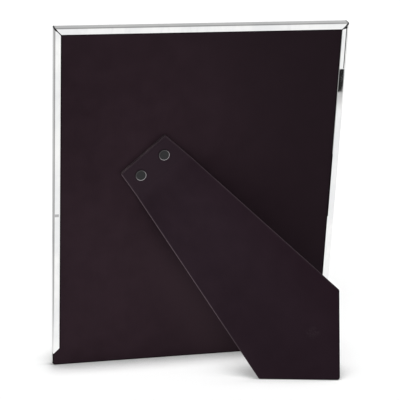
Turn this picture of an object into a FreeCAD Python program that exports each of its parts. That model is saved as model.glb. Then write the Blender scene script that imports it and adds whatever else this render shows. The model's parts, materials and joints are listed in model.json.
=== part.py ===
import FreeCAD, Part
import math
import os
import re

import Sketcher

# Easel back photo frame, in millimetres.
# Four mitred metal rails hold glass, insert and filler card. A velvet back panel slides in
# from below, under the lips of the rails, and carries an easel leg on a hidden hinge.
# Every piece is drawn upright, with X to the right as seen from behind, Z up and -Y to the
# rear, and Y 0 at the velvet's face. Then the whole frame leans back onto its leg.

doc = FreeCAD.newDocument("easel_back_frame")
sheet = doc.addObject("Spreadsheet::Sheet", "Sizes")

# Chosen sizes, one to a cell. Angles are in degrees.
SIZES = [
    # picture and what lies in front of the panel
    ("print_wide", 203.2),
    ("print_tall", 254.0),
    ("print_thick", 0.25),
    ("glass_thick", 2.0),
    ("glass_arris", 0.3),
    ("filler_thick", 1.4),
    ("rebate_gap", 0.6),
    # section of the rails
    ("print_margin", 12.7),
    ("frame_deep", 9.0),
    ("sight_lap", 4.6),
    ("sight_bevel", 0.8),
    ("front_wall", 1.0),
    ("side_wall", 1.2),
    ("shelf_wall", 0.9),
    ("rebate_wall", 0.9),
    ("lip_wide", 5.3),
    ("lip_thick", 1.0),
    ("lip_bevel", 0.35),
    ("rail_round", 1.0),
    ("key_leg", 32.0),
    ("key_gap", 0.1),
    # back panel
    ("velvet_thick", 0.5),
    ("board_thick", 2.3),
    ("lining_thick", 0.2),
    ("groove_gap", 0.1),
    ("groove_side_gap", 0.25),
    ("tab_tall", 10.2),
    ("tab_gap", 0.3),
    ("tab_round", 2.0),
    # stance
    ("lean_angle", 11.0),
    ("leg_open", 24.8),
    # easel leg, measured along its own axis from the middle of the head's top edge
    ("strut_angle", 48.3),
    ("strut_flare", 7.2),
    ("head_left", 45.5),
    ("head_up", 178.6),
    ("head_wide", 45.5),
    ("head_thick", 3.1),
    ("crease_down", 23.5),
    ("leg_thick", 2.4),
    ("leg_lining", 0.4),
    ("foot_lap", 2.0),
    ("foot_lean", 1.4),
    ("foot_round", 2.5),
    ("shoulder_round", 0.8),
    # hinge under the velvet
    ("leaf_wide", 36.0),
    ("leaf_thick", 0.6),
    ("fixed_leaf_tall", 19.0),
    ("moving_leaf_tall", 26.0),
    ("leaf_gap", 0.2),
    ("leaf_round", 2.0),
    ("knuckle_radius", 1.2),
    ("knuckle_long", 10.0),
    ("knuckle_gap", 0.2),
    ("knuckle_clear", 0.3),
    ("pin_radius", 0.6),
    ("pin_seat", 0.01),
    ("pin_play", 0.05),
    ("pin_chamfer", 0.15),
    ("tongue_long", 3.6),
    ("tongue_wide", 8.0),
    ("tongue_clear", 0.6),
    ("velvet_slit", 0.3),
    ("velvet_reach", 0.6),
    ("prong_wide", 1.4),
    ("prong_thick", 0.6),
    ("prong_long", 1.4),
    ("prong_gap", 0.1),
    ("prong_across", 12.0),
    ("prong_first", 8.0),
    ("prong_second", 20.0),
    # rivets
    ("rivet_apart", 24.0),
    ("rivet_down", 11.45),
    ("cap_radius", 4.5),
    ("cap_edge", 0.25),
    ("cap_high", 0.85),
    ("ring_outer", 4.15),
    ("ring_inner", 3.65),
    ("ring_round", 0.15),
    ("disc_radius", 3.35),
    ("disc_high", 0.5),
    ("shank_radius", 1.5),
    ("shank_gap", 0.1),
    ("clinch_radius", 2.5),
    ("clinch_thick", 0.4),
    ("washer_radius", 4.0),
    ("washer_thick", 0.4),
    ("washer_gap", 0.2),
    # how far every cut runs past the faces it goes through
    ("overrun", 1.0),
]

# Sizes that follow from the chosen ones. Levels are along Y.
FORMULAS = [
    ("frame_wide", "print_wide + 2 * print_margin"),
    ("frame_tall", "print_tall + 2 * print_margin"),
    ("half_wide", "frame_wide / 2"),
    ("border_wide", "print_margin + sight_lap"),
    ("rebate_at", "print_margin - rebate_gap"),
    ("panel_thick", "velvet_thick + board_thick + lining_thick"),
    ("lip_rear", "-groove_gap - lip_thick"),
    ("shelf_at", "panel_thick + groove_gap"),
    ("front_face", "frame_deep + lip_rear"),
    ("front_inside", "front_face - front_wall"),
    ("groove_half", "half_wide - side_wall - groove_side_gap"),
    ("groove_top", "frame_tall - side_wall - groove_side_gap"),
    ("tab_top", "tab_tall - tab_gap * sqrt(2)"),
    ("tab_shoulder", "tab_top + side_wall + groove_side_gap"),
    ("lean_sin", "sin(lean_angle * 1 deg)"),
    ("lean_cos", "cos(lean_angle * 1 deg)"),
    ("open_sin", "sin(leg_open * 1 deg)"),
    ("open_cos", "cos(leg_open * 1 deg)"),
    ("strut_sin", "sin(strut_angle * 1 deg)"),
    ("strut_cos", "cos(strut_angle * 1 deg)"),
    ("flare", "tan(strut_flare * 1 deg)"),
    ("head_half", "head_wide / 2"),
    ("hinge_x", "strut_cos * crease_down - head_left"),
    ("hinge_z", "head_up - strut_sin * crease_down"),
    ("axis_out", "head_thick - knuckle_radius"),
    ("board_end", "knuckle_radius + knuckle_clear"),
    ("crease_half", "head_half + flare * crease_down"),
    # The foot's lower edge is the line in the leg's plane that meets the floor when the
    # leg stands open: along = foot_slope * across + foot_reach.
    ("floor_along", "strut_sin * open_cos * lean_cos + open_sin * lean_sin"),
    ("floor_across", "strut_cos * lean_cos"),
    ("inner_face", "leg_thick + leg_lining - knuckle_radius"),
    ("inner_drop", "inner_face * (open_cos * lean_sin - strut_sin * open_sin * lean_cos)"),
    ("floor_start", "hinge_z * lean_cos - axis_out * lean_sin + inner_drop"),
    ("foot_slope", "floor_across / floor_along"),
    ("foot_reach", "floor_start / floor_along"),
    # Folded, the foot's side edge leans in a little and its tip lies over the right lip.
    ("foot_edge", "half_wide - lip_wide + foot_lap - hinge_x"),
    ("tip_across", "(foot_edge - strut_cos * foot_reach) / (strut_sin + foot_slope * strut_cos)"),
    ("tip_along", "foot_slope * tip_across + foot_reach"),
    ("toe_across", "(crease_half + flare * foot_reach) / (1 + flare * foot_slope)"),
    ("toe_along", "foot_reach - foot_slope * toe_across"),
    ("side_slope", "1 / tan((strut_angle + foot_lean) * 1 deg)"),
    ("heel_rise", "(crease_half + flare * tip_along - tip_across) / (side_slope + flare)"),
    ("heel_across", "tip_across + side_slope * heel_rise"),
    ("heel_along", "tip_along - heel_rise"),
    ("rivet_up", "crease_down - rivet_down"),
    ("rivet_long", "velvet_thick + head_thick + panel_thick"),
    ("rivet_shift", "rivet_apart / 2"),
    ("rivet_x", "hinge_x - strut_cos * rivet_up"),
    ("rivet_z", "hinge_z + strut_sin * rivet_up"),
    ("washer_sink", "clinch_thick + washer_thick - lining_thick"),
]

names = []
for row, (name, length) in enumerate(SIZES, 1):
    sheet.set("A%d" % row, str(length))
    sheet.setAlias("A%d" % row, name)
    names.append(name)
for row, (name, formula) in enumerate(FORMULAS, 1):
    sheet.set("B%d" % row, "=" + formula)
    sheet.setAlias("B%d" % row, name)
    names.append(name)
doc.recompute()

NAME_PATTERN = re.compile(r"\b(%s)\b" % "|".join(names))


def tied(text):
    """The same sum with every size's name read from the sheet."""
    return NAME_PATTERN.sub(r"Sizes.\1", str(text))


def size(text):
    """The value of a sum of named sizes, in millimetres."""
    return float(sheet.evalExpression(tied(text)))


def tie(feature, field, text):
    feature.setExpression(field, tied(text))


def new_body(label):
    body = doc.addObject("PartDesign::Body", label)
    body.Label = label
    return body


def new_sketch(body, plane, level="0"):
    """A sketch on one of the body's own planes, or `level` along Y from its XZ plane."""
    sketch = body.newObject("Sketcher::SketchObject", body.Label + "_sketch")
    for datum in body.Origin.OriginFeatures:
        if datum.Role == plane + "_Plane":
            sketch.AttachmentSupport = [(datum, "")]
    sketch.MapMode = "FlatFace"
    if plane == "XZ":
        # The XZ plane faces the rear, so a level towards the front is behind it.
        tie(sketch, "AttachmentOffset.Base.z", "-(%s)" % level)
    return sketch


def pin_point(sketch, line, end, across, up):
    """Holds one end of a line, or a circle's centre, at a place in named sizes."""
    for kind, text in (("DistanceX", across), ("DistanceY", up)):
        rule = Sketcher.Constraint(kind, -1, 1, line, end, size(text))
        number = sketch.addConstraint(rule)
        tie(sketch, "Constraints[%d]" % number, text)


def outline(sketch, corners):
    """A closed outline of straight lines, every corner held by named sizes."""
    points = [FreeCAD.Vector(size(across), size(up), 0) for across, up in corners]
    first = sketch.GeometryCount
    count = len(points)
    for number in range(count):
        sketch.addGeometry(Part.LineSegment(points[number], points[(number + 1) % count]), False)
    for number in range(count):
        following = first + (number + 1) % count
        sketch.addConstraint(Sketcher.Constraint("Coincident", first + number, 2, following, 1))
    for number, (across, up) in enumerate(corners):
        pin_point(sketch, first + number, 1, across, up)


def circle(sketch, across, up, radius):
    centre = FreeCAD.Vector(size(across), size(up), 0)
    normal = FreeCAD.Vector(0, 0, 1)
    number = sketch.addGeometry(Part.Circle(centre, normal, size(radius)), False)
    pin_point(sketch, number, 3, across, up)
    rule = sketch.addConstraint(Sketcher.Constraint("Radius", number, size(radius)))
    tie(sketch, "Constraints[%d]" % rule, radius)


def pad(body, sketch, length, both_ways=False):
    """Metal, board or cloth added from the sketch towards the front, or both ways."""
    feature = body.newObject("PartDesign::Pad", body.Label + "_pad")
    feature.Profile = sketch
    if both_ways:
        feature.SideType = "Symmetric"
    else:
        feature.Reversed = True
    tie(feature, "Length", length)
    doc.recompute()
    return feature


def pocket(body, sketch, length, both_ways=False):
    """A cut from the sketch towards the front, or both ways, that has to take something."""
    before = body.Shape.Volume
    feature = body.newObject("PartDesign::Pocket", body.Label + "_pocket")
    feature.Profile = sketch
    if both_ways:
        feature.SideType = "Symmetric"
    tie(feature, "Length", length)
    doc.recompute()
    if body.Shape.Volume >= before:
        raise ValueError("a cut in %s took nothing away" % body.Label)
    return feature


def plate(body, corners, rear, thick):
    """A flat piece: its outline seen from behind, the level of its rear face, its thickness."""
    sketch = new_sketch(body, "XZ", rear)
    outline(sketch, corners)
    return pad(body, sketch, thick)


def cut_through(body, outlines, rear, deep):
    """Cuts one or more outlines, seen from behind, from the level `rear` towards the front."""
    sketch = new_sketch(body, "XZ", "%s - overrun" % rear)
    for corners in outlines:
        outline(sketch, corners)
    return pocket(body, sketch, "%s + overrun" % deep)


def drill(body, centres, radius, rear, deep):
    """Round holes, seen from behind, from the level `rear` towards the front."""
    sketch = new_sketch(body, "XZ", rear)
    for across, up in centres:
        circle(sketch, across, up, radius)
    return pocket(body, sketch, deep)


def rectangle(left, right, low, high):
    return [(left, low), (right, low), (right, high), (left, high)]


def dress_edges(body, kind, field, amount, chosen):
    """Rounds or bevels the edges whose two ends `chosen` picks."""
    tip = body.Tip
    picked = []
    for number, edge in enumerate(tip.Shape.Edges, 1):
        if chosen(edge.Vertexes[0].Point, edge.Vertexes[-1].Point):
            picked.append("Edge%d" % number)
    feature = body.newObject("PartDesign::" + kind, body.Label + "_" + kind.lower())
    feature.Base = (tip, picked)
    tie(feature, field, amount)
    doc.recompute()
    return feature


def same(first, second):
    """Whether two coordinates agree, to a hundred-thousandth of the frame's height."""
    return math.isclose(first, second, abs_tol=size("frame_tall") / 100000)


def round_corners(body, corners, radius):
    """Rounds the corners of a flat piece, named by their places seen from behind."""
    places = [(size(across), size(up)) for across, up in corners]

    def at_corner(first, last):
        through = not same(first.y, last.y) and same(first.x, last.x)
        return through and any(same(first.x, x) and same(first.z, z) for x, z in places)
    return dress_edges(body, "Fillet", "Radius", radius, at_corner)


pieces = []


def finish(body, place):
    """Keeps a finished piece with its place in the upright frame."""
    pieces.append((body, place))
    return body


# Places: upright pieces, then the strut, whose Z runs up the leg from the crease,
# then the hinge pin, then the leg itself, swung open about the pin.
x_axis = FreeCAD.Vector(1, 0, 0)
rearward = FreeCAD.Vector(0, -1, 0)
upright = FreeCAD.Placement()
strut_turn = FreeCAD.Rotation(rearward, 90 - size("strut_angle"))
strut_place = FreeCAD.Placement(FreeCAD.Vector(size("hinge_x"), 0, size("hinge_z")), strut_turn)
pin_place = strut_place * FreeCAD.Placement(rearward * size("axis_out"), FreeCAD.Rotation())
swing = FreeCAD.Rotation(x_axis, -size("leg_open"))
leg_place = pin_place * FreeCAD.Placement(FreeCAD.Vector(), swing)


def side_place(across, up, turn):
    """A rail or key turned to its side of the frame, about the axis that faces the rear."""
    around = FreeCAD.Rotation(FreeCAD.Vector(0, 1, 0), turn)
    return FreeCAD.Placement(FreeCAD.Vector(size(across), 0, size(up)), around)


# Rails. Each is one length of hollow section, sawn to a mitre at both ends.
# A section is drawn in Y and Z, with Z 0 at the rail's outer face.

FRONT_SECTION = [
    ("shelf_at", "rebate_at"),
    ("front_inside", "rebate_at"),
    ("front_inside", "border_wide"),
    ("front_face - sight_bevel", "border_wide"),
    ("front_face", "border_wide - sight_bevel"),
    ("front_face", "0"),
]

LIPPED_SECTION = [
    ("lip_rear", "0"),
    ("lip_rear", "lip_wide - lip_bevel"),
    ("lip_rear + lip_bevel", "lip_wide"),
    ("-groove_gap", "lip_wide"),
    ("-groove_gap", "side_wall"),
    ("shelf_at", "side_wall"),
] + FRONT_SECTION

LOW_SECTION = [("shelf_at", "0")] + FRONT_SECTION

CHAMBER = rectangle("shelf_at + shelf_wall", "front_inside", "side_wall", "rebate_at - rebate_wall")


def mitre_waste(end):
    """What the saw takes off one end, -1 or 1, of a rail whose middle is at X 0."""
    tip = "%d * (rail_half + overrun)" % end
    back = "%d * (rail_half - border_wide - overrun)" % end
    return [(tip, "-overrun"), (tip, "border_wide + overrun"), (back, "border_wide + overrun")]


def lip_end_waste(end):
    """The lower end of a side rail, where lip and wall make room for the panel's tab."""
    low = "%d * (rail_half + overrun)" % end
    outer = "%d * (rail_half - tab_tall + overrun)" % end
    inner = "%d * (rail_half - tab_tall - lip_wide - overrun)" % end
    return [(low, "-overrun"), (outer, "-overrun"), (inner, "lip_wide + overrun"),
            (low, "lip_wide + overrun")]


def put_length(corners, rail_half):
    return [(across.replace("rail_half", rail_half), up) for across, up in corners]


def rail(side, section, rail_half, place, foot_end=0):
    body = new_body("rail_" + side)
    sketch = new_sketch(body, "YZ")
    outline(sketch, section)
    outline(sketch, CHAMBER)
    pad(body, sketch, "2 * " + rail_half, both_ways=True)

    outer_levels = [size(section[0][0]), size("front_face")]

    def on_outer_edge(first, last):
        along = same(first.z, 0) and same(last.z, 0) and same(first.y, last.y)
        return along and any(same(first.y, level) for level in outer_levels)
    dress_edges(body, "Fillet", "Radius", "rail_round", on_outer_edge)
    mitres = [put_length(mitre_waste(end), rail_half) for end in (-1, 1)]
    cut_through(body, mitres, "lip_rear", "frame_deep + overrun")
    if foot_end:
        waste = put_length(lip_end_waste(foot_end), rail_half)
        cut_through(body, [waste], "lip_rear", "shelf_at - lip_rear")
    finish(body, place)


rail("top", LIPPED_SECTION, "half_wide", side_place("0", "frame_tall", 180))
rail("left", LIPPED_SECTION, "(frame_tall / 2)", side_place("-half_wide", "frame_tall / 2", 90), 1)
rail("right", LIPPED_SECTION, "(frame_tall / 2)", side_place("half_wide", "frame_tall / 2", -90), -1)
rail("bottom", LOW_SECTION, "half_wide", side_place("0", "0", 0))


def corner_key(corner, place):
    """A flat L that fills the chambers of two rails and holds their mitre shut."""
    body = new_body("corner_key_" + corner)
    near_side = "side_wall + key_gap"
    far_side = "rebate_at - rebate_wall - key_gap"
    end = "side_wall + key_leg"
    corners = [(near_side, near_side), (end, near_side), (end, far_side), (far_side, far_side),
               (far_side, end), (near_side, end)]
    key_rear = "shelf_at + shelf_wall + key_gap"
    plate(body, corners, key_rear, "front_inside - key_gap - (%s)" % key_rear)
    finish(body, place)


corner_key("bottom_left", side_place("-half_wide", "0", 0))
corner_key("bottom_right", side_place("half_wide", "0", -90))
corner_key("top_right", side_place("half_wide", "frame_tall", 180))
corner_key("top_left", side_place("-half_wide", "frame_tall", 90))


# Glass, insert and filler card lie in the rebate, from the front wall backwards.

PICTURE = rectangle("-print_wide / 2", "print_wide / 2", "print_margin", "frame_tall - print_margin")

glass = new_body("glass_pane")
plate(glass, PICTURE, "front_inside - glass_thick", "glass_thick")
dress_edges(glass, "Chamfer", "Size", "glass_arris", lambda first, last: same(first.y, last.y))
finish(glass, upright)

insert = new_body("insert_card")
insert_rear = "front_inside - glass_thick - print_thick"
plate(insert, PICTURE, insert_rear, "print_thick")
finish(insert, upright)

filler = new_body("filler_card")
plate(filler, PICTURE, insert_rear + " - filler_thick", "filler_thick")
finish(filler, upright)


# Back panel: velvet, board and lining, cut to one outline. It runs in the grooves of three
# rails and gets as wide as the frame at its lower tab, whose shoulders meet the lip ends.

PANEL = [
    ("-half_wide", "0"),
    ("half_wide", "0"),
    ("half_wide", "tab_top"),
    ("groove_half", "tab_shoulder"),
    ("groove_half", "groove_top"),
    ("-groove_half", "groove_top"),
    ("-groove_half", "tab_shoulder"),
    ("-half_wide", "tab_top"),
]

PANEL_RIVETS = [
    ("rivet_x - rivet_shift * strut_sin", "rivet_z - rivet_shift * strut_cos"),
    ("rivet_x + rivet_shift * strut_sin", "rivet_z + rivet_shift * strut_cos"),
]


def panel_layer(name, rear, thick, hole):
    body = new_body("panel_" + name)
    plate(body, PANEL, rear, thick)
    round_corners(body, PANEL[:2], "tab_round")
    drill(body, PANEL_RIVETS, hole, rear + " - overrun", thick + " + 2 * overrun")
    return finish(body, upright)


panel_layer("velvet", "0", "velvet_thick", "shank_radius + shank_gap")
board = panel_layer("board", "velvet_thick", "board_thick", "shank_radius + shank_gap")
drill(board, PANEL_RIVETS, "washer_radius + washer_gap",
      "velvet_thick + board_thick - washer_sink", "washer_sink + overrun")
panel_layer("lining", "velvet_thick + board_thick", "lining_thick", "washer_radius + washer_gap")


# Head of the strut: a board and its velvet, riveted to the panel above the crease.

HEAD_RIVETS = [("-rivet_shift", "rivet_up"), ("rivet_shift", "rivet_up")]


def head_outline(low):
    top = [("head_half", "crease_down"), ("-head_half", "crease_down")]
    foot = "(crease_half - flare * %s)" % low
    return [("-" + foot, low), (foot, low)] + top


def head_layer(name, rear, thick, low):
    body = new_body("strut_head_" + name)
    corners = head_outline(low)
    plate(body, corners, rear, thick)
    round_corners(body, corners[2:], "shoulder_round")
    drill(body, HEAD_RIVETS, "shank_radius + shank_gap", rear + " - overrun", thick + " + 2 * overrun")
    return finish(body, strut_place)


head_layer("velvet", "-head_thick - velvet_thick", "velvet_thick", "velvet_slit")
head_board = head_layer("board", "-head_thick", "head_thick", "board_end")
leaf_bed = rectangle("-leaf_wide / 2 - leaf_gap", "leaf_wide / 2 + leaf_gap",
                     "board_end - overrun", "fixed_leaf_tall + leaf_gap")
cut_through(head_board, [leaf_bed], "-head_thick", "leaf_thick")
tongue_slot = rectangle("-tongue_wide / 2 - knuckle_clear", "tongue_wide / 2 + knuckle_clear",
                        "board_end - overrun", "tongue_long + tongue_clear")
cut_through(head_board, [tongue_slot], "-head_thick", "head_thick + overrun")


# Hinge. Both leaves are drawn about the pin, which runs along X. Two knuckles of the fixed
# leaf stand either side of the moving leaf's one, and a tongue on that one meets the panel
# when the leg is open, which stops it. The head's velvet ends above the knuckles, where the
# moving leaf comes up under it as the leg opens.

def leaf(name, corners):
    body = new_body("hinge_leaf_" + name)
    plate(body, corners, "-knuckle_radius", "leaf_thick")
    return body


def knuckle(body, length, play):
    """A rolled knuckle about the pin, with its bore."""
    sketch = new_sketch(body, "YZ")
    circle(sketch, "0", "0", "knuckle_radius")
    pad(body, sketch, length, both_ways=True)
    bore = new_sketch(body, "YZ")
    circle(bore, "0", "0", "pin_radius + " + play)
    pocket(body, bore, length + " + 2 * overrun", both_ways=True)


fixed_corners = rectangle("-leaf_wide / 2", "leaf_wide / 2", "0", "fixed_leaf_tall")
fixed_leaf = leaf("fixed", fixed_corners)
round_corners(fixed_leaf, fixed_corners[2:], "leaf_round")
knuckle(fixed_leaf, "leaf_wide", "pin_seat")
gap_half = "(knuckle_long / 2 + knuckle_gap)"
knuckle_room = rectangle("-" + gap_half, gap_half, "-knuckle_radius - overrun", "board_end")
cut_through(fixed_leaf, [knuckle_room], "-knuckle_radius", "2 * knuckle_radius + overrun")
drill(fixed_leaf, HEAD_RIVETS, "shank_radius + shank_gap",
      "-knuckle_radius - overrun", "leaf_thick + 2 * overrun")
finish(fixed_leaf, pin_place)

moving_corners = [
    ("-leaf_wide / 2", "-moving_leaf_tall"),
    ("leaf_wide / 2", "-moving_leaf_tall"),
    ("leaf_wide / 2", "-board_end"),
    ("knuckle_long / 2", "-board_end"),
    ("knuckle_long / 2", "0"),
    ("-knuckle_long / 2", "0"),
    ("-knuckle_long / 2", "-board_end"),
    ("-leaf_wide / 2", "-board_end"),
]
moving_leaf = leaf("moving", moving_corners)
round_corners(moving_leaf, moving_corners[:2], "leaf_round")
tongue = rectangle("-tongue_wide / 2", "tongue_wide / 2", "0", "tongue_long")
plate(moving_leaf, tongue, "-leaf_thick / 2", "leaf_thick")
knuckle(moving_leaf, "knuckle_long", "pin_play")


def prong_outlines(gap):
    """The four prongs that are driven into the leg's board, or their holes."""
    outlines = []
    for across in ("-prong_across", "prong_across"):
        for up in ("-prong_first", "-prong_second"):
            wide = "(prong_wide / 2 + %s)" % gap
            thick = "(prong_thick / 2 + %s)" % gap
            outlines.append(rectangle("%s - %s" % (across, wide), "%s + %s" % (across, wide),
                                      "%s - %s" % (up, thick), "%s + %s" % (up, thick)))
    return outlines


prong_sketch = new_sketch(moving_leaf, "XZ", "leaf_thick - knuckle_radius")
for prong in prong_outlines("0"):
    outline(prong_sketch, prong)
pad(moving_leaf, prong_sketch, "prong_long")
finish(moving_leaf, leg_place)

pin = new_body("hinge_pin")
pin_sketch = new_sketch(pin, "YZ")
circle(pin_sketch, "0", "0", "pin_radius")
pad(pin, pin_sketch, "leaf_wide", both_ways=True)
dress_edges(pin, "Chamfer", "Size", "pin_chamfer", lambda first, last: same(first.x, last.x))
finish(pin, pin_place)


# Rivets through the head and the panel. The cap has a sunk disc inside a raised ring, and
# the shank's end is clinched over a washer that sits in the board.

CAP = [
    ("0", "-disc_high"),
    ("disc_radius", "-disc_high"),
    ("ring_inner", "-cap_high"),
    ("ring_outer", "-cap_high"),
    ("cap_radius", "-cap_edge"),
    ("cap_radius", "0"),
    ("shank_radius", "0"),
    ("shank_radius", "rivet_long - clinch_thick"),
    ("clinch_radius", "rivet_long - clinch_thick"),
    ("clinch_radius", "rivet_long"),
    ("0", "rivet_long"),
]


def rivet(side, across):
    body = new_body("rivet_" + side)
    sketch = new_sketch(body, "XY")
    outline(sketch, CAP)
    turned = body.newObject("PartDesign::Revolution", body.Label + "_turned")
    turned.Profile = sketch
    turned.ReferenceAxis = (sketch, ["V_Axis"])
    doc.recompute()
    ring = [size("ring_inner"), size("ring_outer")]
    top = -size("cap_high")

    def on_ring(first, last):
        return same(first.y, top) and same(last.y, top) and any(same(first.x, x) for x in ring)
    dress_edges(body, "Fillet", "Radius", "ring_round", on_ring)
    seat = FreeCAD.Vector(size(across), -size("head_thick + velvet_thick"), size("rivet_up"))
    finish(body, strut_place * FreeCAD.Placement(seat, FreeCAD.Rotation()))

    washer = new_body("rivet_washer_" + side)
    ring_sketch = new_sketch(washer, "XZ", "panel_thick - clinch_thick - washer_thick")
    circle(ring_sketch, "0", "0", "washer_radius")
    circle(ring_sketch, "0", "0", "shank_radius + shank_gap")
    pad(washer, ring_sketch, "washer_thick")
    hole = FreeCAD.Vector(size(across), 0, size("rivet_up"))
    finish(washer, strut_place * FreeCAD.Placement(hole, FreeCAD.Rotation()))


rivet("left", "-rivet_shift")
rivet("right", "rivet_shift")


# Easel leg, drawn about the pin: it flares down to a foot whose lower edge lies on the
# floor when the leg is open. Folded, that foot lies on the right lip, a little short of flat.

def leg_outline(top):
    half = "(crease_half + flare * %s)" % top
    return [("-toe_across", "-toe_along"), ("tip_across", "-tip_along"),
            ("heel_across", "-heel_along"), (half, "-" + top), ("-" + half, "-" + top)]


def leg_layer(name, rear, thick, top):
    body = new_body("leg_" + name)
    corners = leg_outline(top)
    plate(body, corners, rear, thick)
    round_corners(body, [corners[1]], "foot_round")
    round_corners(body, [corners[0], corners[2]], "shoulder_round")
    return finish(body, leg_place)


leg_layer("velvet", "-knuckle_radius - velvet_thick", "velvet_thick", "(board_end - velvet_reach)")
leg_layer("lining", "leg_thick - knuckle_radius", "leg_lining", "board_end")
leg_board = leg_layer("board", "-knuckle_radius", "leg_thick", "board_end")
moving_bed = rectangle("-leaf_wide / 2 - leaf_gap", "leaf_wide / 2 + leaf_gap",
                       "-moving_leaf_tall - leaf_gap", "overrun - board_end")
cut_through(leg_board, [moving_bed], "-knuckle_radius", "leaf_thick")
prong_holes = new_sketch(leg_board, "XZ", "leaf_thick - knuckle_radius")
for prong in prong_outlines("prong_gap"):
    outline(prong_holes, prong)
pocket(leg_board, prong_holes, "prong_long + prong_gap")


# The frame leans back about its lower rear edge. The origin is on the floor, in the middle
# of the space that frame and leg take up.

lean = FreeCAD.Placement(FreeCAD.Vector(), FreeCAD.Rotation(x_axis, size("lean_angle")))
footprint = FreeCAD.BoundBox()
for body, place in pieces:
    body.Placement = lean * place
    footprint.add(body.Shape.optimalBoundingBox())
middle = FreeCAD.Vector(footprint.Center.x, footprint.Center.y, 0)
for body, place in pieces:
    body.Placement = FreeCAD.Placement(-middle, FreeCAD.Rotation()) * lean * place
doc.recompute()

bodies = [body for body, place in pieces]
faults = [item.Label for item in doc.Objects if {"Invalid", "Error"} & set(item.State)]
for body in bodies:
    shape = body.Shape
    if shape.isNull() or not shape.isValid() or len(shape.Solids) != 1:
        faults.append(body.Label)
if faults:
    raise ValueError("these did not build: " + ", ".join(faults))

os.makedirs("parts", exist_ok=True)
for body in bodies:
    body.Shape.exportStep(os.path.join("parts", body.Label + ".step"))
    box = body.Shape.BoundBox
    print("%-26s %8.2f mm3   z %.2f to %.2f" % (body.Label, body.Shape.Volume, box.ZMin, box.ZMax))
print("footprint %.2f by %.2f, height %.2f" % (footprint.XLength, footprint.YLength, footprint.ZLength))
print("moved from the tab's edge to the middle by", tuple(middle))
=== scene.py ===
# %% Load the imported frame
import json
import math

import bpy
from mathutils import Matrix, Vector


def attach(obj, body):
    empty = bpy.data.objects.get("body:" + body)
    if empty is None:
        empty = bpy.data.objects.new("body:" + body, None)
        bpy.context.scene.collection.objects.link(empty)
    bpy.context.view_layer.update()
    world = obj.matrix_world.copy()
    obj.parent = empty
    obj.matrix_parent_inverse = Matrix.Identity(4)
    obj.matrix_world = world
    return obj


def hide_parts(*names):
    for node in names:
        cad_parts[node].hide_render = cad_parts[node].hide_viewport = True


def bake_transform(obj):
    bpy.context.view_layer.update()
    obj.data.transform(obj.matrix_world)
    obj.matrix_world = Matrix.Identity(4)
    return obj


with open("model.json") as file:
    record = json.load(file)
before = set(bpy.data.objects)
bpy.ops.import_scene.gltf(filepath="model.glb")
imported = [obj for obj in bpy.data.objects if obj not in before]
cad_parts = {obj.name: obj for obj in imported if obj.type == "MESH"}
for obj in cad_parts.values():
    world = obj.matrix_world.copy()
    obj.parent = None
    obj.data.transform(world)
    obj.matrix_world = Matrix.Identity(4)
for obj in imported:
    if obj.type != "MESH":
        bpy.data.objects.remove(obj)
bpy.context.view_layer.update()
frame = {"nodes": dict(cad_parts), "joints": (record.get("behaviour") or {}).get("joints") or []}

nodes = frame["nodes"]

# %% [markdown]
# The picture frame leans back, so almost nothing on it lies along the world's axes. Its two
# moves are known, though: the back panel slides straight down the frame, and the leg swings
# about a pin. Their directions give two places to work from. In each, X runs across, Z up
# along the surface, and Y points away from somebody who stands behind the frame.
# Folded, the foot lies on the right lip, REST_ON_LIP degrees short of flat.

# %% Two places to work from
moves = {move["name"]: move for move in frame["joints"]}
UP = -Vector(moves["back_panel_slide"]["axis"])
ACROSS = Vector((1, 0, 0))
AWAY = UP.cross(ACROSS)
PIN = Vector(moves["leg_fold"]["pos_m"])
PIN_AXIS = Vector(moves["leg_fold"]["axis"])
REST_ON_LIP = 0.4
LEG_OPEN = math.radians(moves["leg_fold"]["range_deg"][1] + REST_ON_LIP)


def place_at(origin, across, away):
    """The place whose X is across and whose Y is away."""
    turn = Matrix((across, away, across.cross(away))).transposed()
    return Matrix.Translation(origin) @ turn.to_4x4()


heel = min((v.co for v in nodes["panel_velvet"].data.vertices), key=lambda point: point.z)
PANEL_PLACE = place_at(Vector((0, heel.y, heel.z)), ACROSS, AWAY)
STRUT_PLACE = place_at(PIN, PIN_AXIS, AWAY)
LEG_PLACE = STRUT_PLACE @ Matrix.Rotation(-LEG_OPEN, 4, "X")
print("panel stands at", tuple(PANEL_PLACE.translation), "pin at", tuple(PIN))

# %% [markdown]
# The camera comes first, because every later choice is judged through it. The corners of the
# frame and the tips of the leg give its place: behind the frame, to the left and a little
# above it, with a long lens, so the sides stay almost parallel.

# %% Camera
CAMERA_AT = Vector((-0.251311, -1.059393, 0.346365))
CAMERA_TURN = math.radians(13.248)
CAMERA_DOWN = math.radians(10.8213)
CAMERA_ROLL = math.radians(-0.1834)
CAMERA_LENS = 128.099

camera = bpy.data.objects.new("camera", bpy.data.cameras.new("camera"))
bpy.context.scene.collection.objects.link(camera)
camera.data.sensor_width = 36
camera.data.lens = CAMERA_LENS
camera.location = CAMERA_AT
camera.rotation_mode = "QUATERNION"
aim = Matrix.Rotation(-CAMERA_TURN, 3, "Z") @ Matrix.Rotation(math.pi / 2 - CAMERA_DOWN, 3, "X")
camera.rotation_quaternion = (aim @ Matrix.Rotation(CAMERA_ROLL, 3, "Z")).to_quaternion()
bpy.context.scene.camera = camera
bpy.context.scene.view_settings.view_transform = "Standard"
print("lens", camera.data.lens, "mm")

# %% [markdown]
# A finish is a material built from nodes. Written as plain sums, a pattern is easier to read
# than a web of boxes, so a Mask wraps one number that changes over the surface and turns
# +, - and * into Math nodes. Nodes holds the tree of a material or of the room, and its one
# method makes every node. Finish adds what only a surface has.


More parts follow.
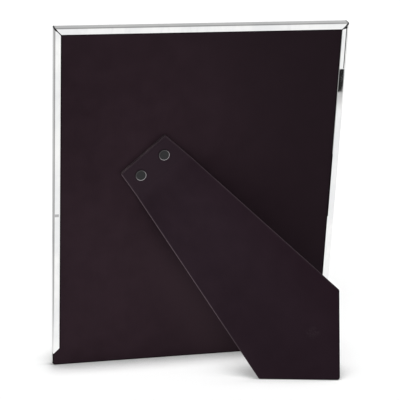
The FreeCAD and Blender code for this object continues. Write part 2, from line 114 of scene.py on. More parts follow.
# %% Sums over a surface
class Mask:
    """One number that changes over a surface, with the nodes that give it."""

    def __init__(self, owner, socket):
        self.owner = owner
        self.socket = socket

    def sum(self, operation, *values):
        kind = {"operation": operation}
        made = self.owner.node("ShaderNodeMath", kind, dict(enumerate(values)))
        return Mask(self.owner, made.outputs[0])

    def __add__(self, other):
        return self.sum("ADD", self, other)

    def __sub__(self, other):
        return self.sum("SUBTRACT", self, other)

    def __rsub__(self, other):
        return self.sum("SUBTRACT", other, self)

    def __mul__(self, other):
        return self.sum("MULTIPLY", self, other)

    def __abs__(self):
        return self.sum("ABSOLUTE", self)

    __radd__ = __add__
    __rmul__ = __mul__

    def root(self):
        return self.sum("SQRT", self)

    def larger(self, other):
        return self.sum("MAXIMUM", self, other)

    def smaller(self, other):
        return self.sum("MINIMUM", self, other)

    def rise(self, low, high):
        """0 up to low, 1 from high on, and a smooth slope between."""
        kind = {"interpolation_type": "SMOOTHSTEP"}
        span = {"Value": self, "From Min": low, "From Max": high}
        return Mask(self.owner, self.owner.node("ShaderNodeMapRange", kind, span).outputs[0])

    def fall(self, low, high):
        return 1 - self.rise(low, high)


# %% [markdown]
# The surface itself is always a Principled shader. What is the same all over, such as the
# sheen of velvet, is typed into its sockets; only colour, roughness and bump get a pattern.


# %% A finish and its nodes
class Nodes:
    """The nodes of one material or of the room."""

    def __init__(self, tree):
        self.tree = tree

    def node(self, kind, settings=None, inputs=None):
        """A node with its settings, and its inputs as values, masks or other nodes' sockets."""
        made = self.tree.nodes.new(kind)
        for field, value in (settings or {}).items():
            setattr(made, field, value)
        for key, value in (inputs or {}).items():
            if isinstance(value, (Mask, bpy.types.NodeSocket)):
                self.tree.links.new(getattr(value, "socket", value), made.inputs[key])
            else:
                made.inputs[key].default_value = value
        return made


class Finish(Nodes):
    """One material, with a Principled shader and the patterns that feed it."""

    def __init__(self, name, **sockets):
        self.material = bpy.data.materials.new(name)
        self.material.use_nodes = True
        super().__init__(self.material.node_tree)
        self.shader = self.tree.nodes["Principled BSDF"]
        for key, value in sockets.items():
            title = key.replace("_", " ").title().replace("Ior", "IOR")
            self.shader.inputs[title].default_value = value

    def feed(self, socket, value):
        self.tree.links.new(getattr(value, "socket", value), self.shader.inputs[socket])

    def blend(self, first, second, mask):
        """A colour that goes from first to second where mask goes from 0 to 1."""
        made = self.node("ShaderNodeMix", {"data_type": "RGBA"}, {0: mask, 6: first, 7: second})
        return made.outputs[2]

    def coordinates(self, place=None):
        """Object coordinates in metres, measured from a place if one is given."""
        spot = self.node("ShaderNodeTexCoord").outputs["Object"]
        if place is None:
            return spot
        turn = {"Vector": spot, "Location": place.translation, "Rotation": place.to_euler()}
        return self.node("ShaderNodeMapping", {"vector_type": "TEXTURE"}, turn).outputs[0]

    def parts(self, vector):
        made = self.node("ShaderNodeSeparateXYZ", None, {0: vector})
        return [Mask(self, socket) for socket in made.outputs]

    def stretch(self, vector, scale):
        return self.node("ShaderNodeMapping", None, {"Vector": vector, "Scale": scale}).outputs[0]

    def noise(self, vector, size, detail=2.0, roughness=0.5):
        """Cloudy noise from 0 to 1, whose patches are about size metres across."""
        spec = {"Vector": vector, "Scale": 1 / size, "Detail": detail, "Roughness": roughness}
        return Mask(self, self.node("ShaderNodeTexNoise", None, spec).outputs[0])

    def bump(self, height, distance, strength=1.0):
        spec = {"Height": height, "Distance": distance, "Strength": strength}
        self.feed("Normal", self.node("ShaderNodeBump", None, spec).outputs[0])


def daylight(red, green, blue):
    """A colour as read off a picture, 0 to 255, in the amounts of light that shaders use."""
    shares = [channel / 255 for channel in (red, green, blue)]
    light = [s / 12.92 if s < 0.04045 else ((s + 0.055) / 1.055) ** 2.4 for s in shares]
    return (*light, 1.0)


def dress(finish, *names):
    """Gives CAD nodes a finish."""
    for name in names:
        nodes[name].data.materials.clear()
        nodes[name].data.materials.append(finish.material)


print("daylight white is", daylight(255, 255, 255))

# %% [markdown]
# The rails are rolled metal with a mirror polish. Such a surface has almost no colour of its
# own: it is the room that one sees. What gives it away as metal are the fine saw lines of the
# mitres, a little haze from handling, and a very slight waviness left by the rollers.
# The mitre line is worked out from the distance to the two nearest outer edges. The right lip
# also carries painted shade: a dark line near its outer edge and a dark triangle below its
# upper mitre. The left lip has a small dull mark. All three belong to the back, so they stop at
# its face.

# %% Polished rails
HALF_WIDE = 0.1143
HALF_TALL = 0.1397
LIP_WIDE = 0.0053
MITRE_LINE = 0.00034
MITRE_FADE = 0.00030
MITRE_DARK = daylight(22, 22, 23)
# Painted shade on the right lip: where its dark line and dark triangle lie, and their colour.
SHADE_LINE_AT, SHADE_LINE_LOW = 0.00175, 0.2425
SHADE_TRIANGLE_SLOPE = 0.8
PAINTED_SHADE_DARK = daylight(26, 26, 27)
POLISH_ROUGHNESS = 0.012
MARK_AT = (-0.1117, 0.1305)
MARK_DULL = daylight(120, 118, 120)

polish = Finish("polished_rail", metallic=1.0, ior=1.5)
spot = polish.coordinates(PANEL_PLACE)
x, y, z = polish.parts(spot)
from_side = HALF_WIDE - abs(x)
from_end = HALF_TALL - abs(z - HALF_TALL)
off_mitre = abs(from_side - from_end)
outer = from_side.smaller(from_end).fall(0.001, 0.0024)
mitre = (off_mitre - outer * 0.0004).fall(MITRE_LINE, MITRE_LINE + MITRE_FADE)
below_mitre = from_end - from_side
behind = y.fall(0.0005, 0.0015)
on_right_lip = below_mitre.rise(0.0004, 0.0007) * x.rise(0.1, 0.105) * behind
# Painted shade on the right lip: a dark triangle below the upper mitre and a dark line near the
# outer edge.
triangle = ((LIP_WIDE - from_side) * SHADE_TRIANGLE_SLOPE - below_mitre).rise(0.0, 0.0003)
triangle = triangle * from_side.rise(0.001, 0.0014)
painted_shade_line = abs(from_side - SHADE_LINE_AT).fall(0.00028, 0.0005) * z.rise(SHADE_LINE_LOW, SHADE_LINE_LOW + 0.001)
painted_shade_on_lip = triangle.larger(painted_shade_line * 0.9) * on_right_lip
haze = polish.noise(spot, 0.03, 3.0, 0.6)
smudge = polish.noise(polish.stretch(spot, (1, 1, 0.35)), 0.004, 2.0).rise(0.5, 0.8)
tone = polish.blend(daylight(236, 237, 238), daylight(249, 249, 248), haze.rise(0.3, 0.7))
tone = polish.blend(tone, daylight(226, 226, 227), smudge * 0.35)
mark = abs(x - MARK_AT[0]).fall(0.0012, 0.002) * abs(z - MARK_AT[1]).fall(0.0007, 0.0016)
tone = polish.blend(tone, MARK_DULL, mark * smudge.larger(0.6) * behind)
tone = polish.blend(tone, PAINTED_SHADE_DARK, painted_shade_on_lip)
polish.feed("Base Color", polish.blend(tone, MITRE_DARK, mitre))
polish.feed("Roughness",
            haze.rise(0.35, 0.8) * 0.012 + smudge * 0.02 + mitre * 0.5 + POLISH_ROUGHNESS)
ripple = polish.noise(polish.stretch(spot, (1, 1, 0.2)), 0.012, 1.0)
polish.bump(ripple * 0.4 - mitre * 1.5, 0.00002, 0.6)
dress(polish, "rail_top", "rail_left", "rail_right", "rail_bottom")
print("mitre line is", 2 * (MITRE_LINE + MITRE_FADE) / math.sqrt(2), "m wide")

# %% [markdown]
# The L shaped keys inside the corners are stamped from plain aluminium sheet. Nobody sees them
# until the frame is taken apart, so they are left as stamped: dull, with fine rolling lines.

# %% Corner keys
stamped = Finish("stamped_aluminium", metallic=1.0)
spot = stamped.coordinates(PANEL_PLACE)
lines = stamped.noise(stamped.stretch(spot, (0.15, 1, 3)), 0.0006, 3.0)
stamped.feed("Base Color", stamped.blend(daylight(176, 178, 180), daylight(212, 213, 214), lines))
stamped.feed("Roughness", lines * 0.2 + 0.35)
stamped.bump(lines, 0.00002)
dress(stamped, "corner_key_top_left", "corner_key_top_right",
      "corner_key_bottom_left", "corner_key_bottom_right")

# %% [markdown]
# Behind the glass lies the plain paper that a new frame comes with, and behind that a brown
# card that fills the depth of the rebate. Paper is soft white with faint fibres; card is
# coarser, with darker flecks.

# %% Glass, insert and filler card
clear = Finish("picture_glass", base_color=daylight(248, 252, 250), roughness=0.015, ior=1.52,
               transmission_weight=1.0)
dress(clear, "glass_pane")

paper = Finish("insert_paper", specular_ior_level=0.3)
spot = paper.coordinates(PANEL_PLACE)
fibre = paper.noise(paper.stretch(spot, (1, 1, 0.3)), 0.0012, 4.0, 0.7)
tooth = paper.noise(spot, 0.05, 2.0)
sheet_tone = paper.blend(daylight(226, 223, 216), daylight(240, 238, 232), fibre)
paper.feed("Base Color", paper.blend(sheet_tone, daylight(232, 229, 221), tooth.rise(0.4, 0.7)))
paper.feed("Roughness", fibre * 0.15 + 0.75)
paper.bump(fibre, 0.00003)
dress(paper, "insert_card")

card = Finish("filler_card", specular_ior_level=0.2)
spot = card.coordinates(PANEL_PLACE)
pulp = card.noise(spot, 0.0018, 5.0, 0.7)
fleck = card.noise(spot, 0.0009, 2.0).rise(0.66, 0.74)
card_tone = card.blend(daylight(158, 128, 92), daylight(190, 160, 121), pulp)
card.feed("Base Color", card.blend(card_tone, daylight(108, 84, 58), fleck * 0.6))
card.feed("Roughness", pulp * 0.1 + 0.82)
card.bump(pulp, 0.00006)
dress(card, "filler_card")
print("front of the frame dressed")

# %% [markdown]
# The panel, the head and the leg are stiff board. Only its cut edges show, as a thin line
# between the velvet and the lining, so the edge matters most: pressed layers that run along
# it, stained dark to go with the velvet and rubbed paler here and there.

# %% Board and lining paper
board = Finish("edge_stained_board", specular_ior_level=0.25)
spot = board.coordinates(PANEL_PLACE)
layer = board.noise(board.stretch(spot, (0.05, 1, 0.05)), 0.0004, 3.0, 0.6)
rubbed = board.noise(spot, 0.006, 4.0, 0.65).rise(0.5, 0.72)
stain = board.blend(daylight(34, 27, 31), daylight(56, 47, 51), layer)
board.feed("Base Color", board.blend(stain, daylight(104, 92, 94), rubbed * 0.4))
board.feed("Roughness", layer * 0.15 + 0.75)
board.bump(layer, 0.00005)
dress(board, "panel_board", "strut_head_board", "leg_board")

lining = Finish("lining_paper", specular_ior_level=0.3)
spot = lining.coordinates(PANEL_PLACE)
fibre = lining.noise(spot, 0.0012, 4.0, 0.7)
lining.feed("Base Color", lining.blend(daylight(30, 28, 29), daylight(46, 43, 44), fibre))
lining.feed("Roughness", fibre * 0.15 + 0.65)
lining.bump(fibre, 0.00003)
dress(lining, "panel_lining")
print("board and lining dressed")

# %% [markdown]
# The hinge is pressed steel with a pale zinc coat. The rivets that hold it are the only metal
# on the velvet: dark nickel caps with a sunk, satin disc and a raised ring that has been
# polished brighter, its lower side lighter still from a painted highlight. Disc and ring are
# told apart by the distance from the rivet's middle, and as the two rivets stand evenly about
# the strut's axis, one sum does for both.

# %% Hinge steel and rivets
zinc = Finish("zinc_coated_steel", metallic=1.0)
spot = zinc.coordinates(STRUT_PLACE)
cloud = zinc.noise(spot, 0.002, 4.0, 0.6)
zinc.feed("Base Color", zinc.blend(daylight(150, 152, 150), daylight(190, 190, 184), cloud))
zinc.feed("Roughness", cloud * 0.2 + 0.3)
zinc.bump(cloud, 0.00002)
dress(zinc, "hinge_leaf_fixed", "hinge_leaf_moving", "hinge_pin",
      "rivet_washer_left", "rivet_washer_right")

RIVET_OUT = 0.012
RIVET_UP = 0.01205
RING_IN, RING_OUT = 0.0038, 0.0041
RING_FADE = 0.00015

nickel = Finish("dark_nickel_rivet", metallic=1.0)
spot = nickel.coordinates(STRUT_PLACE)
x, _, z = nickel.parts(spot)
sideways = abs(x) - RIVET_OUT
upward = z - RIVET_UP
reach = (sideways * sideways + upward * upward).root()
ring = reach.rise(RING_IN - RING_FADE, RING_IN) * reach.fall(RING_OUT, RING_OUT + RING_FADE)
satin = nickel.noise(spot, 0.0005, 3.0, 0.6)
disc_tone = nickel.blend(daylight(47, 48, 49), daylight(66, 67, 67), satin)
# Painted highlight: the ring is painted lighter on its lower side.
painted_highlight_side = upward.fall(-0.003, 0.003)
ring_tone_with_highlight = nickel.blend(daylight(90, 88, 89), daylight(172, 168, 170), painted_highlight_side)
nickel.feed("Base Color", nickel.blend(disc_tone, ring_tone_with_highlight, ring))
nickel.feed("Roughness", (1 - ring) * 0.22 + satin * 0.12 + 0.16)
nickel.bump(satin, 0.00001)
dress(nickel, "rivet_left", "rivet_right")
print("rivets", 2 * RIVET_OUT, "m apart")

# %% [markdown]
# Velvet looks almost black because its pile swallows light, and what comes back is uneven:
# soft clouds where a hand has passed, a fine grain from the tufts, and a faint sheen at low
# angles. Beside the head a slanting patch of the panel's pile is painted a little paler, as
# painted light that lifts the shade the leg casts there, and along the lips a painted shade
# darkens the pile where the lips overhang it.
# Along a cut edge a thin pale line is painted, partly the ground cloth where the pile opens
# and partly a painted highlight; along the tab and the foot a painted shade darkens the edge.
# Each cloth piece keeps its own flat pattern as a UV map, in metres, so the nap runs with the
# cloth even where it bends, and an attribute says how pale or dark each edge is painted.


# %% Velvet
# Painted light: a paler patch beside the head that lifts the shade the leg casts there.
PAINTED_LIGHT_TONE = daylight(52, 39, 45)
LIGHT_PATCH_AT = (-0.0585, 0.1555)
LIGHT_PATCH_TO = (0.843, 0.538)
LIGHT_PATCH_WIDE = 0.05
# Painted shade along the lips, where they overhang the pile.
PAINTED_GROOVE_SHADE = daylight(12, 9, 11)
SCUFFED = daylight(74, 64, 69)
# Edge colours: a pale line, partly worn ground cloth and partly painted highlight, and a painted
# shade.
PALE_EDGE_WEAR_AND_HIGHLIGHT = daylight(122, 108, 114)
PAINTED_EDGE_SHADE = daylight(8, 6, 7)


def velvet_finish(name, shade, fades=(), scuffs=(), lips=None):
    """Short pile in two shades. Places are on the flat pattern, in metres.

    A fade is (0 across or 1 up, from, to, colour, share), a scuff (across, up, size), and lips
    are (half width, top, lower end) of the opening between the rails' lips.
    """
    velvet = Finish(name, roughness=0.95, sheen_weight=0.12, sheen_roughness=0.45,
                    sheen_tint=daylight(150, 118, 138), specular_ior_level=0.12)
    cut = velvet.node("ShaderNodeUVMap", {"uv_map": "pattern"}).outputs[0]
    cloud = velvet.noise(velvet.stretch(cut, (1, 0.6, 1)), 0.09, 3.0, 0.55)
    brushed = velvet.noise(velvet.stretch(cut, (1, 0.12, 1)), 0.004, 3.0, 0.6)
    tuft = velvet.noise(cut, 0.0011, 3.0, 0.7)
    patch = velvet.noise(cut, 0.014, 2.0).rise(0.3, 0.7)
    nap = cloud.rise(0.3, 0.7) * 0.45 + patch * 0.2 + brushed * 0.15 + tuft * 0.2
    low, high = shade
    tone = velvet.blend(daylight(*low), daylight(*high), nap)
    x, y, _ = velvet.parts(cut)
    for way, first, last, colour, share in fades:
        tone = velvet.blend(tone, daylight(*colour), (x, y)[way].rise(first, last) * share)
    if lips:
        half, top, end = lips
        # Painted light: a slanting paler patch beside the head.
        painted_light_patch = (x - LIGHT_PATCH_AT[0]) * LIGHT_PATCH_TO[0] + (y - LIGHT_PATCH_AT[1]) * LIGHT_PATCH_TO[1]
        painted_light_patch = painted_light_patch.rise(-LIGHT_PATCH_WIDE, 0) * y.fall(0.06, 0.14) * x.fall(0.0, 0.09)
        tone = velvet.blend(tone, PAINTED_LIGHT_TONE, painted_light_patch)
        # Painted shade: a dark band just inside the lips' inner edges.
        painted_groove_shade = abs(x).rise(half - 0.0012, half - 0.0003) * y.rise(end - 0.001, end)
        painted_groove_shade = painted_groove_shade.larger(y.rise(top - 0.0012, top - 0.0003))
        tone = velvet.blend(tone, PAINTED_GROOVE_SHADE, painted_groove_shade * 0.75)
    for across, up, size in scuffs:
        near = abs(x - across).larger(abs(y - up)).fall(size * 0.3, size)
        tone = velvet.blend(tone, SCUFFED, near * tuft.rise(0.45, 0.62) * 0.2)
    edge = velvet.node("ShaderNodeAttribute", {"attribute_name": "edge"}).outputs["Fac"]
    edge = Mask(velvet, edge)
    # Pale edges are partly worn ground cloth and partly painted highlight; negative edges get
    # painted shade.
    edge_wear_and_highlight = edge.larger(0.0) * (y.rise(-0.17, -0.09) * 0.4 + 0.6)
    tone = velvet.blend(tone, PALE_EDGE_WEAR_AND_HIGHLIGHT, edge_wear_and_highlight * edge_wear_and_highlight)
    velvet.feed("Base Color", velvet.blend(tone, PAINTED_EDGE_SHADE, (0 - edge).larger(0.0)))
    velvet.bump(tuft * 0.7 + brushed * 0.3, 0.00018, 0.7)
    return velvet


LIP_AT = 0.109
LIP_TOP = 0.2741
LIP_END = 0.0155
PANEL_SHADES = [(36, 24, 30), (52, 38, 45)]
# The first fade is painted shade: the panel gets darker towards its right side, away from the
# light. The other two make it darker towards the left edge and towards the top.
PANEL_DARK = (29, 20, 25)
PANEL_FADES = [(0, -LIP_AT, LIP_AT, PANEL_DARK, 0.8), (0, -0.04, -0.1, PANEL_DARK, 0.2),
               (1, 0.2, 0.27, PANEL_DARK, 0.2)]
STRUT_SHADES = [(29, 20, 26), (42, 31, 38)]
STRUT_FADES = [(1, -0.012, 0.004, (46, 35, 42), 0.8), (1, -0.03, -0.2, (28, 16, 23), 0.4),
               (0, 0.0, 0.045, (28, 15, 22), 0.4)]
STRUT_SCUFFS = [(0.0086, -0.1696, 0.006)]

panel_velvet = velvet_finish("velvet_of_the_panel", PANEL_SHADES, PANEL_FADES,
                             lips=(LIP_AT, LIP_TOP, LIP_END))
strut_velvet = velvet_finish("velvet_of_the_strut", STRUT_SHADES, STRUT_FADES, STRUT_SCUFFS)
print("velvet ready")

# %% [markdown]
# All the cloth is cut flat, glued down and trimmed. The same few steps make each piece: a
# circle with as many points as the pattern has corners is pulled to the pattern, the corners
# are rounded, a narrow rim is inset so the edge can be shaded by itself, and creases are cut
# across where the cloth will bend. Last it gets its thickness and a soft edge.


# %% Cutting cloth
def alone(piece):
    """Selects one object and nothing else."""
    bpy.ops.object.select_all(action="DESELECT")
    piece.select_set(True)
    bpy.context.view_layer.objects.active = piece


def pattern_area(corners):
    pairs = zip(corners, corners[1:] + corners[:1])
    return abs(sum(a[0] * b[1] - b[0] * a[1] for a, b in pairs)) / 2


def select_corner(piece, corner, reach):
    """Selects the pattern's points within reach of one corner, in edit mode."""
    bpy.ops.mesh.select_all(action="DESELECT")
    bpy.ops.object.mode_set(mode="OBJECT")
    for vertex in piece.data.vertices:
        vertex.select = math.hypot(vertex.co.x - corner[0], vertex.co.z - corner[1]) < reach
    bpy.ops.object.mode_set(mode="EDIT")


TINY = 0.00001


def cut_cloth(name, corners, rounds, rim, creases=()):
    """A flat cloth in X and Z, its face to -Y: corners counter-clockwise, a radius for each."""
    bpy.ops.object.select_all(action="DESELECT")
    bpy.ops.mesh.primitive_circle_add(vertices=len(corners), fill_type="NGON")
    cloth = bpy.context.object
    cloth.name = cloth.data.name = name
    for vertex, (across, up) in zip(cloth.data.vertices, corners):
        vertex.co = (across, 0, up)
    bpy.ops.object.mode_set(mode="EDIT")
    bpy.ops.mesh.select_mode(type="VERT")
    for corner, radius in zip(corners, rounds):
        if radius:
            select_corner(cloth, corner, TINY)
            bpy.ops.mesh.bevel(offset=radius, segments=6, affect="VERTICES")
    bpy.ops.mesh.select_all(action="SELECT")
    bpy.ops.mesh.inset(thickness=rim)
    for level in creases:
        bpy.ops.mesh.select_all(action="SELECT")
        bpy.ops.mesh.bisect(plane_co=(0, 0, level), plane_no=(0, 0, 1))
    bpy.ops.object.mode_set(mode="OBJECT")
    return cloth


# %% [markdown]
# The edge attribute is worked out from the pattern: each side has its own value, above 0 where
# the edge is paler, partly worn ground cloth and partly a painted highlight, below 0 where it
# gets a painted shade, and it fades inwards.


# %% Edge shading and thickness
def side_distance(point, first, last):
    """How far a point of the pattern is from one of its sides."""
    side = Vector(last) - Vector(first)
    share = max(0, min(1, (point - Vector(first)).dot(side) / side.length_squared))
    return (point - Vector(first) - side * share).length


def shade_edges(cloth, corners, values, rim):
    edge = cloth.data.attributes.new("edge", "FLOAT", "POINT")
    sides = list(zip(corners, corners[1:] + corners[:1], values))
    for vertex in cloth.data.vertices:
        point = Vector((vertex.co.x, vertex.co.z))
        near = [(side_distance(point, first, last), value) for first, last, value in sides]
        distance, value = min(near)
        edge.data[vertex.index].value = value * max(0, 1 - distance / rim)


def finish_cloth(cloth, corners, values, rim, thick, softness, finish):
    """Pattern map, edge shading, thickness away from the face, and a soft edge."""
    pattern = cloth.data.uv_layers.new(name="pattern")
    for loop in cloth.data.loops:
        spot = cloth.data.vertices[loop.vertex_index].co
        pattern.data[loop.index].uv = (spot.x, spot.z)
    shade_edges(cloth, corners, values, rim)
    alone(cloth)
    solid = cloth.modifiers.new("thickness", "SOLIDIFY")
    solid.thickness = thick
    solid.offset = -1
    soft = cloth.modifiers.new("soft_edge", "BEVEL")
    soft.width = softness
    soft.segments = 3
    soft.limit_method = "ANGLE"
    for step in ("thickness", "soft_edge"):
        bpy.ops.object.modifier_apply(modifier=step)
    bpy.ops.object.shade_smooth_by_angle(angle=math.radians(40))
    cloth.data.materials.clear()
    cloth.data.materials.append(finish.material)


# %% [markdown]
# The back panel's velvet covers it to the edges. Its sides run in the grooves under the lips,
# where nothing shows, and it gets as wide as the frame at the tab that one pulls it out by.

# %% Velvet of the back panel
VELVET = 0.0005
CUT_SOFTNESS = 0.00012
GROOVE_HALF = 0.11285
GROOVE_TOP = 0.27795
TAB_TOP = 0.009776
SHOULDER = 0.011226
TAB_ROUND = 0.002
PANEL_RIM = 0.0014

PANEL_CUT = [(-HALF_WIDE, 0), (HALF_WIDE, 0), (HALF_WIDE, TAB_TOP), (GROOVE_HALF, SHOULDER),
             (GROOVE_HALF, GROOVE_TOP), (-GROOVE_HALF, GROOVE_TOP), (-GROOVE_HALF, SHOULDER),
             (-HALF_WIDE, TAB_TOP)]
PANEL_ROUNDS = [TAB_ROUND, TAB_ROUND, 0, 0, 0, 0, 0, 0]
# The tab's edges get a painted shade.
PANEL_EDGES = [-1, -1, -1, 0, 0, 0, -1, -1]

panel_cover = cut_cloth("panel_cover", PANEL_CUT, PANEL_ROUNDS, PANEL_RIM)
finish_cloth(panel_cover, PANEL_CUT, PANEL_EDGES, PANEL_RIM, VELVET, CUT_SOFTNESS,
             panel_velvet)
panel_cover.data.transform(PANEL_PLACE)
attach(panel_cover, "back_panel")
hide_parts("panel_velvet")
pattern_area(PANEL_CUT)
print("panel cover", len(panel_cover.data.polygons), "faces", pattern_area(PANEL_CUT), "m2")

# %% [markdown]
# One piece of velvet runs from the riveted head over the hinge and down the leg. That is what
# makes the crease soft: the cloth itself is the cover of the hinge. It is cut flat, in the
# place where the leg is folded, and then bent about the pin. That rule reads the bent place,
# so the share is found in a few rounds.

# %% Velvet of the strut, flat
HEAD_HALF, HEAD_UP = 0.02275, 0.0235
TOE, TIP, HEEL = (-0.04719, -0.16998), (0.00021, -0.21152), (0.04567, -0.15792)
UNDERSIDE = 0.0012
CREASE = 0.0022
STRUT_RIM = 0.0012
CORNER_ROUND, TIP_ROUND = 0.0008, 0.0025
STRUT_CUT = [(-HEAD_HALF, HEAD_UP), TOE, TIP, HEEL, (HEAD_HALF, HEAD_UP)]
STRUT_ROUNDS = [CORNER_ROUND, CORNER_ROUND, TIP_ROUND, CORNER_ROUND, CORNER_ROUND]
# The foot's two lower sides get a painted shade; the other sides are paler, partly worn ground
# cloth and partly painted highlight.
STRUT_EDGES = [0.8, -1, -1, 0.42, 0.34]
CREASES = [CREASE * step / 4 for step in range(-4, 5)]

strut_cover = cut_cloth("strut_cover", STRUT_CUT, STRUT_ROUNDS, STRUT_RIM, CREASES)
finish_cloth(strut_cover, STRUT_CUT, STRUT_EDGES, STRUT_RIM, VELVET, CUT_SOFTNESS,
             strut_velvet)
strut_cover.data.transform(Matrix.Translation((0, -UNDERSIDE - VELVET, 0)))
print("strut cover", len(strut_cover.data.polygons), "faces")

# %% Velvet of the strut, bent over the hinge
middle = Vector((0, -UNDERSIDE - VELVET / 2, 0))
BEND_START = middle + Vector((0, 0, CREASE))
BEND_END = Matrix.Rotation(-LEG_OPEN, 3, "X") @ (middle - Vector((0, 0, CREASE)))


def share_of_turn(point):
    run = BEND_END - BEND_START
    share = max(0, min(1, (point - BEND_START).dot(run) / run.length_squared))
    return share * share * (3 - 2 * share)


def bent(point, rounds=12):
    share = share_of_turn(point)
    for _ in range(rounds):
        share = share_of_turn(Matrix.Rotation(-LEG_OPEN * share, 3, "X") @ point)
    return Matrix.Rotation(-LEG_OPEN * share, 3, "X") @ point


for vertex in strut_cover.data.vertices:
    vertex.co = bent(vertex.co)
strut_cover.data.transform(STRUT_PLACE)
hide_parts("strut_head_velvet", "leg_velvet")
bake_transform(strut_cover)
pattern_area(STRUT_CUT)
print("strut cover bent by", math.degrees(LEG_OPEN), "degrees")

# %% [markdown]
# The inner face of the leg is lined with the same velvet, cut a little short of the hinge.

# %% Velvet inside the leg
LINING = 0.0004
LINING_SOFTNESS = 0.0001
LEG_TOP = -0.0015
INNER_FACE = 0.0016
FLARE = (TOE[0] + HEAD_HALF) / (TOE[1] - HEAD_UP)
LEG_HALF = HEAD_HALF + FLARE * (HEAD_UP - LEG_TOP)
LEG_CUT = [(-LEG_HALF, LEG_TOP), TOE, TIP, HEEL, (LEG_HALF, LEG_TOP)]
LEG_ROUNDS = [0, CORNER_ROUND, TIP_ROUND, CORNER_ROUND, 0]
# As on the strut: painted shade at the foot, a paler line, partly painted highlight, on the long
# sides.
LEG_EDGES = [0.4, -0.5, -0.5, 0.4, 0]

leg_inside = cut_cloth("leg_inside", LEG_CUT, LEG_ROUNDS, STRUT_RIM)
finish_cloth(leg_inside, LEG_CUT, LEG_EDGES, STRUT_RIM, LINING, LINING_SOFTNESS, strut_velvet)
leg_inside.data.transform(LEG_PLACE @ Matrix.Translation((0, INNER_FACE - LINING, 0)))
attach(leg_inside, "easel_leg")
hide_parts("leg_lining")
pattern_area(LEG_CUT)
print("leg lining", pattern_area(LEG_CUT), "m2")

# %% [markdown]
# The frame stands on a plain white table in a white room. The table has to look white without
# more light on the frame, so its camera rays get a little glow of their own, and what is left
# of its brightness comes from the lamps and carries the shadow. Close to the frame the table
# also gets a painted contact shadow: it is darkened a little more, by how much of a slanting
# look upwards the frame covers. Most of that stops at the line that the panel stands on.
# The polished lips mirror the table behind the camera. For mirrored rays alone it has shades:
# a paler sweep, a dark bar that the right lip picks up, and a grey band beside it.

# %% Table
FLOOR_SIZE = 30
FLOOR_GLOW = 0.17
CONTACT_REACH = 0.05
CONTACT_LOOK = (0.15, -0.63, 0.76)
CONTACT_FROM = 0.95
CONTACT_SHARE = 1.9
CONTACT_MOST = 0.55
CONTACT_END = PANEL_PLACE.translation.y
CONTACT_LOST = 0.55
BAR_AT, BAR_HALF, BAR_LEFT = -0.4265, 0.0265, 0.22
BAR_SLANT, BAR_RIGHT = 0.34, 0.1329
BAND_SHARE = 0.4
NEARLY_BLACK = (0.01, 0.01, 0.01, 1)
WHITE = (1, 1, 1, 1)

bpy.ops.object.select_all(action="DESELECT")
bpy.ops.mesh.primitive_plane_add(size=FLOOR_SIZE)
floor = bpy.context.object
floor.name = "table"
table = Finish("white_table", base_color=(0.9, 0.9, 0.9, 1), roughness=0.9,
               specular_ior_level=0.0)
rays = table.node("ShaderNodeLightPath")
seen = Mask(table, rays.outputs["Is Camera Ray"])
for ray in ("Is Glossy Ray", "Is Transmission Ray"):
    seen = seen.larger(Mask(table, rays.outputs[ray]))
glow = table.node("ShaderNodeEmission", None, {"Color": WHITE, "Strength": seen * FLOOR_GLOW})
both = table.node("ShaderNodeAddShader", None, {0: table.shader.outputs[0], 1: glow.outputs[0]})
x, y, _ = table.parts(table.coordinates())
# Painted contact shadow: the table is darkened where ambient occlusion finds the frame close by.
look = table.node("ShaderNodeCombineXYZ", None, dict(enumerate(CONTACT_LOOK))).outputs[0]
near = table.node("ShaderNodeAmbientOcclusion", {"samples": 16},
                  {"Distance": CONTACT_REACH, "Normal": look})
contact = (CONTACT_FROM - Mask(table, near.outputs["AO"])) * CONTACT_SHARE
contact = contact.larger(0.0).smaller(CONTACT_MOST)
contact = contact * (1 - y.rise(CONTACT_END - 0.002, CONTACT_END + 0.010) * CONTACT_LOST)
both = table.node("ShaderNodeMixShader", None, {0: contact, 1: both.outputs[0]})
right = x.rise(BAR_LEFT, BAR_LEFT + 0.01)
bar = abs(y - BAR_AT).fall(BAR_HALF, BAR_HALF + 0.002)
bar = bar * (x + y * BAR_SLANT).fall(BAR_RIGHT, BAR_RIGHT + 0.0012)
band = y.rise(-0.402, -0.397) * y.fall(-0.39, -0.35)
bar = (bar * 0.99).larger(band * BAND_SHARE) * right
sweep = (0.4 + x.rise(-0.24, -0.12) * 0.6).larger(y.rise(0.1, 0.6) * 0.75)
sweep = sweep * (1 - x.rise(0.34, 0.56) * 0.12)
sweep = sweep * (1 - y.rise(0.04, 0.08) * x.fall(-0.1, -0.06) * 0.25)
shade = table.blend(NEARLY_BLACK, WHITE, sweep * (1 - bar))
mirrored = table.node("ShaderNodeEmission", None, {"Color": shade})
view = table.node("ShaderNodeMixShader", None, {
    0: rays.outputs["Is Glossy Ray"], 1: both.outputs[0], 2: mirrored.outputs[0]})
output = table.tree.nodes["Material Output"]
table.tree.links.new(view.outputs[0], output.inputs["Surface"])
floor.data.materials.append(table.material)
print("table", FLOOR_SIZE, "m wide")

# %% [markdown]
# The light is that of a plain white studio. Six narrow strips overhead, side by side in depth,
# leave the soft stepped shadow under the leaning frame. The photo shows no such shadow under
# the leg, so the leg's pieces don't block the strips. A weaker and wider lamp behind the camera
# fills the velvet, and the room gives the rest. Polished metal shows the room, so the room is
# white at table height and gets grey towards the ceiling: that grey draws the upper edge of
# the top rail.


# %% Room and lamps
def lamp(name, comes_from, level, spread):
    """A far lamp that metal doesn't mirror. Spread is its width in degrees.

    A white sheet that faces it looks as bright as level says.
    """
    made = bpy.data.objects.new(name, bpy.data.lights.new(name, "SUN"))
    bpy.context.scene.collection.objects.link(made)
    made.data.energy = level * math.pi
    made.data.angle = math.radians(spread)
    made.rotation_euler = Vector(comes_from).to_track_quat("Z", "Y").to_euler()
    made.visible_glossy = False
    return made


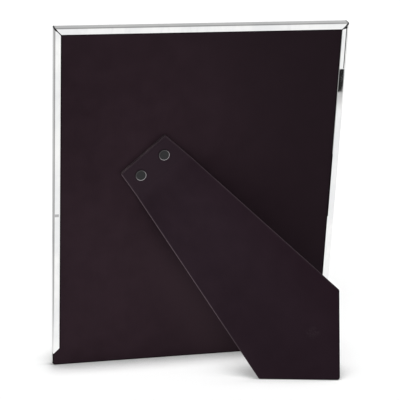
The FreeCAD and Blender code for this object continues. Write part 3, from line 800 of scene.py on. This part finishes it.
LEG_PIECES = (nodes["leg_board"], nodes["hinge_leaf_moving"], strut_cover, leg_inside)
apart = bpy.data.collections.new("leaves_the_strips_alone")
for number, piece in enumerate(LEG_PIECES):
    apart.objects.link(piece)
    apart.collection_objects[number].light_linking.link_state = "EXCLUDE"

STRIP_TILTS = (-18.0, -14.0, -11.0, -9.0, -7.0, -5.5)
STRIP_SIDE = 1.2
STRIP_LEVEL = 0.64 / len(STRIP_TILTS)
STRIP_SPREAD = 3
FILL_FROM = (-0.3, -0.9, 0.45)
FILL_LEVEL = 0.42
FILL_SPREAD = 50

for number, tilt in enumerate(STRIP_TILTS):
    sideways = Matrix.Rotation(math.radians(STRIP_SIDE * (number % 2)), 3, "Y")
    aim_from = Matrix.Rotation(-math.radians(tilt), 3, "X") @ sideways @ Vector((0, 0, 1))
    strip = lamp("strip_%d" % number, aim_from, STRIP_LEVEL, STRIP_SPREAD)
    strip.light_linking.blocker_collection = apart
lamp("fill", FILL_FROM, FILL_LEVEL, FILL_SPREAD)

ROOM = 0.18
CEILING = 0.33
room = bpy.data.worlds.new("room")
bpy.context.scene.world = room
room.use_nodes = True
air = Nodes(room.node_tree)
direction = air.node("ShaderNodeTexCoord").outputs["Generated"]
height = air.node("ShaderNodeSeparateXYZ", None, {0: direction}).outputs["Z"]
ceiling = air.node("ShaderNodeMapRange", {"interpolation_type": "SMOOTHSTEP"}, {
    "Value": height, "From Min": -0.2, "From Max": 0.8, "To Min": 1.0, "To Max": CEILING})
rays = air.node("ShaderNodeLightPath")
seen = Mask(air, rays.outputs["Is Camera Ray"]).larger(
    Mask(air, rays.outputs["Is Transmission Ray"]))
plain = air.node("ShaderNodeMix", None, {
    0: rays.outputs["Is Glossy Ray"], 2: ROOM, 3: ceiling.outputs[0]})
level = air.node("ShaderNodeMix", None, {0: seen, 2: plain.outputs[0], 3: 1.0})
background = air.tree.nodes["Background"]
background.inputs["Color"].default_value = WHITE
air.tree.links.new(level.outputs[0], background.inputs["Strength"])
print("room level", ROOM)
